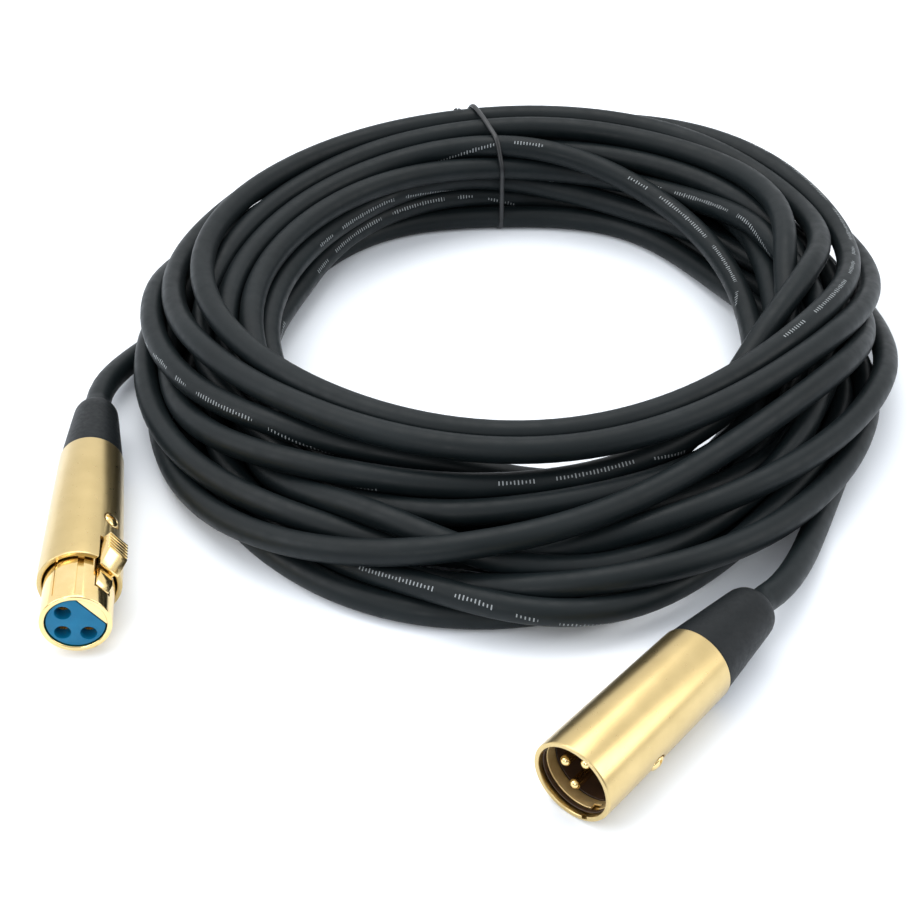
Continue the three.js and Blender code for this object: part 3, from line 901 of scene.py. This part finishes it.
SCREW_R = 1.95
SCREW_SHANK_R = 1.05
SCREW_BORE_R = 1.4
SCREW_SINK_R = SCREW_R + 0.35
DOME_HEIGHT = 0.82
SCREW_SLOT = 0.64
PIVOT_HOLE_R = 1.05
EYE_R = 1.35


def contact_places():
    """Centres of the three contacts, seen with the latch side up."""
    for degrees in (180, 270, 0):
        angle = math.radians(degrees)
        yield PIN_CIRCLE * math.cos(angle), PIN_CIRCLE * math.sin(angle)


def screw(y, top):
    """Slotted domed screw that stands up at y, its head's rim at height `top`."""
    rim = [(0, top - 2.2), (SCREW_SHANK_R, top - 2.2), (SCREW_SHANK_R, top + 0.02), (SCREW_R, top + 0.02)]
    dome = [
        (SCREW_R * math.cos(a), top + 0.12 + DOME_HEIGHT * math.sin(a))
        for a in (math.radians(d) for d in range(0, 91, 10))
    ]
    dome[-1] = (0, dome[-1][1])
    upright = Matrix.Translation((0, y, 0)) @ Matrix.Rotation(math.pi / 2, 4, "X")
    head = moved(turned(rim + dome, 48), upright)
    slot = block(-3, 3, -SCREW_SLOT / 2, SCREW_SLOT / 2, top + 0.42, top + 3)
    return softened(cut(head, moved(slot, Matrix.Translation((0, y, 0)))), 0.07)


def screw_hole(y, top):
    sink = post(SCREW_SINK_R, top - 0.25, top + 3, y, 64)
    bore = post(SCREW_BORE_R, top - 5, top + 1, y, 32)
    return [sink, bore]


def boot(y0, shell_end, end, sleeve, shoulder, neck):
    """Boot with a sleeve inside the shell, a shoulder against its end, a taper and a round end."""
    outline = [
        (sleeve - 0.4, y0),
        (sleeve, y0 + 0.6),
        (sleeve, shell_end + 0.15),
        (shoulder, shell_end + 0.15),
        (shoulder - 0.1, shell_end + 1.5),
        (shoulder - (shoulder - neck) * 0.6, shell_end + (end - shell_end) * 0.5),
        (neck, end - 4.2),
        (neck - 0.25, end - 2.4),
        (neck - 0.75, end - 1.0),
        (neck - 1.5, end - 0.2),
        (neck - 2.1, end),
        (CABLE_R + 0.12, end),
        (CABLE_R + 0.12, end - 1.0),
        (CABLE_R + 0.3, end - 1.4),
        (CABLE_R + 0.3, y0),
        (sleeve - 0.4, y0),
    ]
    return turned(rounded(outline, 0.6, 5), 80)


def polish(piece, limit):
    """Gives the faces in front of y = limit the piece's second material."""
    for polygon in piece.data.polygons:
        polygon.material_index = 1 if polygon.center.y < limit else 0


# ---- the female plug -------------------------------------------------------------------------

FRONT = BARREL_LENGTH  # the shell's front edge
NARROW = FRONT + 9  # where the shell's bore and the barrel both narrow
BARREL_END = FRONT + 18.2
TAB_WIDTH = 5.4
TAB_BACK = FRONT + 6.6
LEVER_WIDTH = 4
FEMALE_REAR_R = SHELL_R - 1.75
FEMALE_SCREW_Y = BARREL_LENGTH + 15.5
FEMALE_SCREW_TOP = SHELL_R - 0.8
INSULATOR_FACE = 0.45
INSULATOR_END = NARROW - 1.2
SOCKET_FRONT = 3.2
SOCKET_DEPTH = 16


def female_shell():
    profile = [
        (SHELL_R - 0.1, FRONT),
        (SHELL_R, FRONT + 0.3),
        (SHELL_R, FRONT + 4),
        (SHELL_R - 0.85, FRONT + 4 + (FEMALE_SHELL_LENGTH - 4) * 0.5),
        (FEMALE_REAR_R, FEMALE_END),
        (FEMALE_REAR_R - 0.7, FEMALE_END),
        (FEMALE_REAR_R - 0.7, BARREL_END + 0.6),
        (REAR_R + 0.35, BARREL_END + 0.4),
        (REAR_R + 0.35, NARROW + 0.2),
        (BARREL_R + 0.35, NARROW),
        (BARREL_R + 0.35, FRONT),
        (SHELL_R - 0.1, FRONT),
    ]
    shell = turned(rounded(profile, 0.35))
    half = TAB_WIDTH / 2 + 0.3
    slot = block(-half, half, FRONT - 1, TAB_BACK + 0.9, LEVER_FLOOR, SHELL_R + 3)
    shell = softened(cut(shell, slot, *screw_hole(FEMALE_SCREW_Y, FEMALE_SCREW_TOP)), 0.12)
    polish(shell, FRONT + 0.25)
    return finished(shell, "female_shell_detail", FEMALE_LATCH_UP, [SATIN_GOLD, BRIGHT_GOLD])


def female_barrel():
    profile = [
        (BARREL_R, 0),
        (BARREL_R, NARROW - 0.3),
        (REAR_R, NARROW - 0.3),
        (REAR_R, BARREL_END),
        (REAR_R - 1.2, BARREL_END),
        (REAR_R - 1.2, NARROW - 0.9),
        (BARREL_R - 1.2, NARROW - 0.9),
        (BARREL_R - 1.2, 0),
        (BARREL_R, 0),
    ]
    barrel = turned(rounded(profile, 0.42))
    web = cut(rod(BARREL_R - 1.0, 0.5, 4.8, 64), block(-9, 9, 0, 6, -9, FLAT + 0.3))
    side = LEVER_WIDTH / 2 + 0.3
    channel = block(-side, side, 5.1, PIVOT_Y + 1.8, FLAT, BARREL_R + 1)
    pivot = moved(rod(1.1, -8, 8), Matrix.Translation((0, PIVOT_Y, PIVOT_Z))
                  @ Matrix.Rotation(math.pi / 2, 4, "Z"))
    turns = [Matrix.Rotation(math.radians(-KEYWAY_TURN * k), 4, "Y") for k in (1, 2)]
    keyway = moved(block(-0.7, 0.7, 1.2, FRONT + 1, BARREL_R - 0.5, BARREL_R + 1), turns[0])
    seam = moved(block(-0.3, 0.3, 2.4, FRONT + 1, BARREL_R - 0.25, BARREL_R + 1), turns[1])
    screw_way = post(SCREW_BORE_R, 2, SHELL_R, FEMALE_SCREW_Y)
    barrel = cut(joined(barrel, web), channel, pivot, screw_way, keyway, seam)
    return finished(softened(barrel, 0.1), "female_barrel_detail", FEMALE_LATCH_UP, BRIGHT_GOLD)


def female_insulator():
    radius = BARREL_R - 1.5
    body = rod(radius, INSULATOR_FACE, INSULATOR_END, SIDES)
    holes = [moved(rod(SOCKET_R + 0.3, -1, INSULATOR_END + 1, 40), Matrix.Translation((x, 0, z)))
             for x, z in contact_places()]
    body = cut(body, block(-8, 8, -1, INSULATOR_END + 1, FLAT, BARREL_R + 1), *holes)
    return finished(softened(body, 0.22, 3), "female_insulator_detail", FEMALE_LATCH_UP, BLUE)


def female_contacts():
    """Sockets that start behind the insulator's face."""
    back = INSULATOR_END + 1
    bore = PIN_R + 0.05
    tail = SOCKET_R - 0.2
    profile = [
        (0, SOCKET_DEPTH),
        (bore, SOCKET_DEPTH),
        (bore, SOCKET_FRONT + 0.4),
        (PIN_R + 0.2, SOCKET_FRONT),
        (SOCKET_R, SOCKET_FRONT),
        (SOCKET_R, back),
        (tail, back + 0.3),
        (tail, back + 1.8),
        (0, back + 1.8),
    ]
    for number, (x, z) in enumerate(contact_places(), 1):
        contact = moved(turned(profile, 40), Matrix.Translation((x, 0, z)))
        finished(contact, f"female_contact_{number}_detail", FEMALE_LATCH_UP, CONTACT_GOLD)


def latch_lever():
    """Hook, arm, ribbed thumb tab and the eye that it turns on."""
    arm_top = LEVER_FLOOR + 1.2
    arm = plate([
        (6.2, LEVER_FLOOR),
        (PIVOT_Y - 3, LEVER_FLOOR),
        (PIVOT_Y - 0.9, PIVOT_Z - 0.9),
        (PIVOT_Y, PIVOT_Z + 1.3),
        (PIVOT_Y - 3.2, arm_top),
        (6.2, arm_top),
    ], LEVER_WIDTH)
    hook = plate([
        (5.8, LEVER_FLOOR),
        (10.3, LEVER_FLOOR),
        (10.3, BARREL_R + 0.8),
        (7.7, BARREL_R + 0.8),
        (5.8, arm_top),
    ], LEVER_WIDTH - 0.02)
    foot = BARREL_R + 1.1
    top = SHELL_R + 2.6
    back = TAB_BACK
    side = LEVER_WIDTH / 2 - 0.02
    neck = block(-side, side, 10.9, back - 0.02, arm_top - 0.6, foot + 0.5)
    outline = [(FRONT - 2.5, foot), (back, foot), (back, top - 0.1)]
    ribs = 5
    step = (back - FRONT - 1.2) / ribs
    for i in range(ribs):
        edge = back - i * step
        outline += [
            (edge - step * 0.5, top - 0.1 + i * 0.04),
            (edge - step * 0.6, top - 0.55),
            (edge - step * 0.9, top - 0.55),
            (edge - step, top + i * 0.04),
        ]
    outline += [(FRONT + 0.4, top - 0.4), (FRONT - 2.5, foot + 0.6)]
    tab = softened(plate(outline, TAB_WIDTH), 0.14)
    across = Matrix.Translation((0, PIVOT_Y, PIVOT_Z)) @ Matrix.Rotation(math.pi / 2, 4, "Z")
    eye = moved(rod(EYE_R, -LEVER_WIDTH / 2 + 0.01, LEVER_WIDTH / 2 - 0.01), across)
    lever = joined(softened(arm, 0.12), softened(hook, 0.18), neck, tab, eye)
    lever = cut(lever, moved(rod(PIVOT_HOLE_R, -8, 8), across))
    return finished(lever, "latch_lever_detail", FEMALE_LATCH_UP, BRIGHT_GOLD, "latch")


female_shell()
female_barrel()
female_insulator()
female_contacts()
latch_lever()
finished(screw(FEMALE_SCREW_Y, FEMALE_SCREW_TOP), "female_screw_detail", FEMALE_LATCH_UP, BRIGHT_GOLD)
finished(boot(FEMALE_END - 6.2, FEMALE_END, FEMALE_BOOT_END, FEMALE_REAR_R - 1, FEMALE_REAR_R - 0.25,
              CABLE_R + 2.5), "female_boot_detail", FEMALE, RUBBER)


# ---- the male plug ---------------------------------------------------------------------------

MALE_REAR_R = SHELL_R - 0.6
BORE = MOUTH_R + 0.7
REAR_BORE = BORE - 0.65
FLOOR = BARREL_LENGTH + 0.4  # the insulator's face behind the pins
MALE_BACK = FLOOR + 8.4
MALE_ROOM = MALE_SHELL_LENGTH - MALE_BACK
MALE_SCREW_Y = 17.3
MALE_SCREW_TOP = SHELL_R - 0.45
# Outer radius of the gold ring, and of the dark collar and cup wall, which are painted shade in the
# mouth.
LINER = BORE - 0.3


def key_turn(degrees):
    """Turn round the plug's axis, from the latch side."""
    return Matrix.Rotation(math.radians(degrees), 4, "Y")


def male_shell():
    profile = [
        (SHELL_R - 0.15, 0),
        (SHELL_R, 0.3),
        (SHELL_R, 6),
        (MALE_REAR_R, MALE_SHELL_LENGTH),
        (REAR_BORE, MALE_SHELL_LENGTH),
        (REAR_BORE, FLOOR + 0.9),
        (BORE, FLOOR + 0.7),
        (BORE, 1.2),
        (MOUTH_R + 0.2, 1.2),
        (MOUTH_R + 0.2, 0),
        (SHELL_R - 0.15, 0),
    ]
    shell = turned(rounded(profile, 0.35), 112)
    notch = moved(block(-0.7, 0.7, -1, 2, MOUTH_R, MOUTH_R + 0.75), key_turn(KEYWAY_TURN + 6))
    shell = softened(cut(shell, notch, *screw_hole(MALE_SCREW_Y, MALE_SCREW_TOP)), 0.1)
    polish(shell, 0.34)
    return finished(shell, "male_shell_detail", MALE_LATCH_UP, [SATIN_GOLD, BRIGHT_GOLD])


def catch_window():
    """What is cut away for the hook of a mating plug's latch."""
    return block(-2.5, 2.5, 2, 8.4, MOUTH_R - 1, LINER + 1)


def male_ring():
    notch = moved(block(-1.1, 1.1, 2, 4.1, MOUTH_R - 1, LINER + 1), key_turn(KEYWAY_TURN))
    ring = cut(tube(LINER, MOUTH_R, 2.7, 5.4), notch, catch_window())
    return finished(softened(ring, 0.08), "male_ring_detail", MALE_LATCH_UP, RING_GOLD)


def male_insulator():
    # The floor behind the pins is dark plastic. The cup wall from y = 5.7 back to the floor, between
    # MOUTH_R and LINER, is a dark sleeve that stands for the shade inside the mouth: painted shade.
    profile = [
        (0, FLOOR),
        (MOUTH_R, FLOOR),
        (MOUTH_R, 5.7),
        (LINER, 5.7),
        (LINER, FLOOR + 0.6),
        (REAR_BORE - 0.3, FLOOR + 0.6),
        (REAR_BORE - 0.3, MALE_BACK),
        (0, MALE_BACK),
    ]
    body = turned(rounded(profile, 0.12), 80)
    holes = [moved(rod(PIN_R + 0.3, 3, MALE_BACK + 1, 32), Matrix.Translation((x, 0, z)))
             for x, z in contact_places()]
    body = cut(body, catch_window(), post(SCREW_BORE_R, 5.9, SHELL_R, MALE_SCREW_Y), *holes)
    return finished(body, "male_insulator_detail", MALE_LATCH_UP, DARK_PLASTIC_AND_SHADE)


def male_pins():
    profile = [(PIN_R * math.sin(a), 2.1 + PIN_R * (1 - math.cos(a)))
               for a in (math.radians(d) for d in range(0, 91, 9))]
    profile[0] = (0, profile[0][1])
    end = MALE_BACK + MALE_ROOM * 0.13
    profile += [(PIN_R, MALE_BACK + 0.6), (PIN_R + 0.1, MALE_BACK + 0.9), (PIN_R + 0.1, end), (0, end)]
    for number, (x, z) in enumerate(contact_places(), 1):
        pin = moved(turned(profile, 40), Matrix.Translation((x, 0, z)))
        finished(pin, f"male_pin_{number}_detail", MALE_LATCH_UP, BRIGHT_GOLD, edge=50)


male_shell()
male_ring()
male_insulator()
male_pins()
# The collar is a dark ring just inside the mouth, in front of the gold ring: painted shade, standing for
# the shadow on the shell's inner wall there.
finished(tube(LINER, MOUTH_R, 1.5, 2.4), "male_collar_detail", MALE, DARK_PLASTIC_AND_SHADE)
finished(screw(MALE_SCREW_Y, MALE_SCREW_TOP), "male_screw_detail", MALE_LATCH_UP, BRIGHT_GOLD)
finished(boot(MALE_BACK + MALE_ROOM * 0.755 + 0.3, MALE_SHELL_LENGTH, MALE_BOOT_END, REAR_BORE - 0.3,
              MALE_REAR_R - 0.3, CABLE_R + 3.3), "male_boot_detail", MALE, RUBBER)


# ---- CAD pieces that stay --------------------------------------------------------------------

def kept_material(name):
    if "_wire_" in name:
        return WIRES[int(name[-1]) - 1]
    if name.endswith("_clamp"):
        return CLAMP
    if name.endswith("_cord_end"):
        return RUBBER
    return STEEL if name.startswith("latch_") else None


for name, node in frame["nodes"].items():
    material = kept_material(name)
    if material:
        node.data.materials.clear()
        node.data.materials.append(material)


# ---- floor, light and air --------------------------------------------------------------------

FLOOR_HALF = 3.0  # metres


def make_floor():
    half = FLOOR_HALF
    corners = [(-half, -half, 0), (half, -half, 0), (half, half, 0), (-half, half, 0)]
    mesh = bpy.data.meshes.new("floor")
    mesh.from_pydata(corners, [], [(0, 1, 2, 3)])
    floor = new_object("floor", mesh)
    material, tree, shader = nodes_for("floor")
    shades = [(0.3, (0.86, 0.90, 0.95)), (0.7, (0.88, 0.92, 0.97))]
    tree.links.new(ramp(tree, noise(tree, 400), shades), shader.inputs["Base Color"])
    tree.links.new(spread(tree, noise(tree, 60), 0.5, 0.6), shader.inputs["Roughness"])
    mesh.materials.append(material)


def area_light(name, place, size, power, colour):
    """Light at a place in metres, aimed at the middle of the floor."""
    data = bpy.data.lights.new(name, "AREA")
    data.shape = "RECTANGLE"
    data.size, data.size_y = size
    data.energy = power
    data.color = colour
    light = bpy.data.objects.new(name, data)
    light.location = place
    light.rotation_euler = (-Vector(place)).to_track_quat("-Z", "Y").to_euler()
    bpy.context.scene.collection.objects.link(light)


def make_air():
    """A sky that is pale behind the object and overhead, and dark low down on the camera's side."""
    world = bpy.data.worlds.new("studio")
    bpy.context.scene.world = world
    world.use_nodes = True
    tree = world.node_tree
    background = tree.nodes["Background"]
    place = add(tree, "ShaderNodeTexCoord")
    split = add(tree, "ShaderNodeSeparateXYZ")
    tree.links.new(place.outputs["Generated"], split.inputs["Vector"])
    behind = maths(tree, "ADD", maths(tree, "MULTIPLY", split.outputs["Y"], 0.35), 0.5)
    paleness = maths(tree, "ADD", behind, maths(tree, "MULTIPLY", split.outputs["Z"], 0.3))
    shade = ramp(tree, paleness, [(0.22, (0.20, 0.21, 0.23)), (0.62, (0.95, 0.97, 1.0))])
    tree.links.new(shade, background.inputs["Color"])
    background.inputs["Strength"].default_value = 1.2


make_floor()
make_air()
area_light("overhead", (-0.15, 0.35, 1.1), size=(1.2, 0.8), power=8, colour=(1.0, 0.99, 0.97))
area_light("left_fill", (-1.0, -0.3, 0.7), size=(0.7, 0.7), power=5, colour=(0.97, 0.98, 1.0))
area_light("camera_fill", (-0.35, -0.9, 0.45), size=(0.25, 0.25), power=1.8, colour=(1.0, 1.0, 1.0))
area_light("right_fill", (1.0, -0.2, 0.6), size=(0.5, 0.7), power=3, colour=(1.0, 0.99, 0.97))


bpy.context.view_layer.update()
